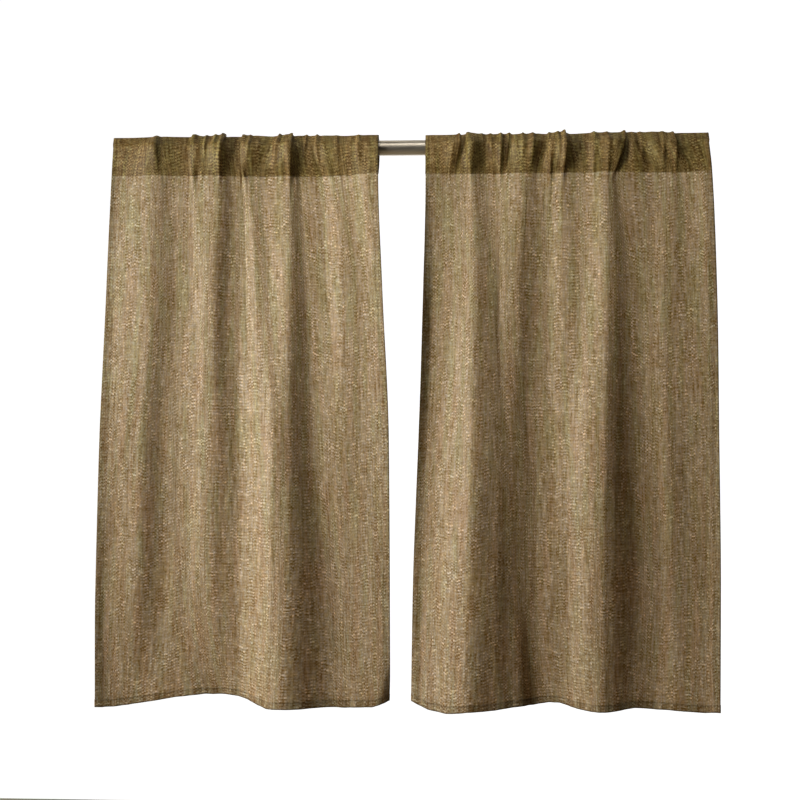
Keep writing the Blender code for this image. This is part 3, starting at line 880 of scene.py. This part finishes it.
class StudioSettings(bpy.types.PropertyGroup):
    """The floor, wall, lamps and camera round the curtain. Distances are metres."""

    distance: number("Camera distance", "From the rod", 1.6, 0.3, 20.0, unit="LENGTH")
    swing: number("Camera swing", "Camera's turn to the right", math.radians(2.0), -1.5, 1.5,
                  subtype="ANGLE")
    aim_x: number("Aim across", "From the rod's left end", 0.4575, -2.0, 3.0, unit="LENGTH")
    aim_z: number("Aim height", "From the rod's centre line", -0.4032, -3.0, 3.0, unit="LENGTH")
    lens: number("Lens", "Focal length in mm", 45.0, 10.0, 300.0)
    key: number("Key light", "Watts of the soft light from the left", 33.5, 0.0, 1000.0)
    fill: number("Fill light", "Watts of the wide light in front", 0.07, 0.0, 1000.0)
    top: number("Top light", "Watts of the strip above the rod", 3.4, 0.0, 1000.0)
    overhead: number("Overhead light", "Watts of the strip above and behind", 2.2, 0.0, 1000.0)
    panel: number("Panel light", "Watts of the light on the right panel's top", 0.65, 0.0, 1000.0)
    strip: number("Strip light", "Watts of the low strip that the rod shows", 0.6, 0.0, 1000.0)
    sky: number("Room light", "Strength of the light from all round", 0.004, 0.0, 5.0)
    wall_glow: number("Wall glow", "Light that the pale wall gives", 1.0, 0.0, 10.0)


class CURTAIN_OT_hang_panels(bpy.types.Operator):
    """Hang both linen panels on the rod, with their pockets, hems and folds"""

    bl_idname = "curtain.hang_panels"
    bl_label = "Hang panels"

    def execute(self, context):
        settings = context.scene.curtain_cloth
        for side, (table, tucks, creases, corner, seed) in PANELS.items():
            panel = Panel(table, tucks, creases, corner, settings, seed)
            material = linen_finish("linen_" + side, settings, panel.seam_v, panel.width)
            cloth = add_piece("cloth_" + side, cloth_mesh(panel), material)
            thick = cloth.modifiers.new("thickness", "SOLIDIFY")
            thick.thickness = settings.thickness * MM
            thick.offset = -1.0
            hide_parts("panel_" + side)
            stitches = add_piece("stitches_" + side, stitch_mesh(panel, settings),
                                 thread_finish("thread_" + side, settings))
        return {"FINISHED"}


class CURTAIN_OT_fit_rod(bpy.types.Operator):
    """Fit the plain round rod that both panels share"""

    bl_idname = "curtain.fit_rod"
    bl_label = "Fit rod"

    def execute(self, context):
        settings = context.scene.curtain_rod
        bm = bmesh.new()
        middle = Matrix.Translation((ROD_LOW[0] + ROD_LENGTH * MM / 2, 0, 0))
        radius = ROD_RADIUS * MM
        bmesh.ops.create_cone(bm, cap_ends=True, segments=settings.segments, radius1=radius,
                              radius2=radius, depth=ROD_LENGTH * MM,
                              matrix=middle @ Matrix.Rotation(math.pi / 2, 4, "Y"))
        rims = [edge for edge in bm.edges if any(len(face.verts) > 4 for face in edge.link_faces)]
        bmesh.ops.bevel(bm, geom=rims, offset=settings.edge * MM, segments=3, profile=0.5,
                        affect="EDGES", material=-1)
        bmesh.ops.recalc_face_normals(bm, faces=bm.faces)
        rod = add_piece("rod_bar", bm, nickel_finish("satin_nickel", settings))
        for polygon in rod.data.polygons:
            polygon.use_smooth = len(polygon.vertices) == 4
        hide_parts("rod")
        return {"FINISHED"}


class CURTAIN_OT_set_studio(bpy.types.Operator):
    """Set the pale floor and wall, the soft lamps and the camera"""

    bl_idname = "curtain.set_studio"
    bl_label = "Set studio"

    def execute(self, context):
        settings = context.scene.curtain_studio
        scene = context.scene
        scene.view_settings.view_transform = "Standard"
        centre = Vector((settings.aim_x, 0.0, settings.aim_z))
        turn = Matrix.Rotation(settings.swing, 4, "Z")
        camera = bpy.data.cameras.new("camera")
        camera.lens = settings.lens
        camera.sensor_width = 36.0
        camera.clip_start = 0.01
        eye = bpy.data.objects.new("camera", camera)
        scene.collection.objects.link(eye)
        back = Matrix.Translation((0, -settings.distance, 0))
        eye.matrix_world = Matrix.Translation(centre) @ turn @ back @ UPRIGHT
        scene.camera = eye
        for name, offset, aim, size, spread, color in LAMPS:
            lamp = bpy.data.lights.new(name + "_lamp", "AREA")
            lamp.shape = "RECTANGLE"
            lamp.size, lamp.size_y = size
            lamp.spread = math.radians(spread)
            lamp.energy = getattr(settings, name)
            lamp.color = color
            stand = bpy.data.objects.new(name + "_lamp", lamp)
            scene.collection.objects.link(stand)
            stand.location = centre + Vector(offset)
            toward = Vector(aim) - Vector(offset)
            stand.rotation_euler = toward.to_track_quat("-Z", "Y").to_euler()
        world = bpy.data.worlds.new("studio")
        world.use_nodes = True
        room = world.node_tree.nodes["Background"]
        room.inputs["Color"].default_value = (*AMBER, 1.0)
        room.inputs["Strength"].default_value = settings.sky
        scene.world = world
        self.add_sweep(scene, settings)
        return {"FINISHED"}

    def add_sweep(self, scene, settings):
        """A pale floor, and a paler wall behind that glows so that it reads as white."""
        for name, (size, centre, color), turn, glow in (
                ("floor", FLOOR, Matrix(), 0.0), ("wall", WALL, UPRIGHT, settings.wall_glow)):
            bm = bmesh.new()
            place = Matrix.Translation(centre) @ turn @ Matrix.Diagonal((*size, 1.0, 1.0))
            bmesh.ops.create_grid(bm, x_segments=1, y_segments=1, size=0.5, matrix=place)
            mesh = bpy.data.meshes.new(name)
            bm.to_mesh(mesh)
            bm.free()
            pale = Finish("pale_" + name)
            pale.shader.inputs["Base Color"].default_value = color
            pale.shader.inputs["Roughness"].default_value = 0.9
            pale.shader.inputs["Emission Color"].default_value = (1.0, 1.0, 1.0, 1.0)
            pale.shader.inputs["Emission Strength"].default_value = glow
            mesh.materials.append(pale.material)
            surface = bpy.data.objects.new(name, mesh)
            scene.collection.objects.link(surface)


class CURTAIN_PT_panel(bpy.types.Panel):
    """The curtain's operators and settings in the sidebar"""

    bl_idname = "CURTAIN_PT_panel"
    bl_label = "Cafe curtain"
    bl_space_type = "VIEW_3D"
    bl_region_type = "UI"
    bl_category = "Curtain"

    def draw(self, context):
        layout = self.layout
        scene = context.scene
        groups = ((scene.curtain_rod, "curtain.fit_rod"),
                  (scene.curtain_cloth, "curtain.hang_panels"),
                  (scene.curtain_studio, "curtain.set_studio"))
        for settings, operator in groups:
            box = layout.box()
            for name in settings.__annotations__:
                box.prop(settings, name)
            box.operator(operator)


GROUPS = {
    "curtain_cloth": ClothSettings,
    "curtain_rod": RodSettings,
    "curtain_studio": StudioSettings,
}
CLASSES = (ClothSettings, RodSettings, StudioSettings, CURTAIN_OT_hang_panels, CURTAIN_OT_fit_rod,
           CURTAIN_OT_set_studio, CURTAIN_PT_panel)


def register():
    for kind in CLASSES:
        bpy.utils.register_class(kind)
    for name, kind in GROUPS.items():
        setattr(bpy.types.Scene, name, bpy.props.PointerProperty(type=kind))


def unregister():
    for name in GROUPS:
        delattr(bpy.types.Scene, name)
    for kind in reversed(CLASSES):
        bpy.utils.unregister_class(kind)


def main():
    register()
    bpy.ops.curtain.set_studio()
    bpy.ops.curtain.fit_rod()
    bpy.ops.curtain.hang_panels()


if __name__ == "__main__":
    main()
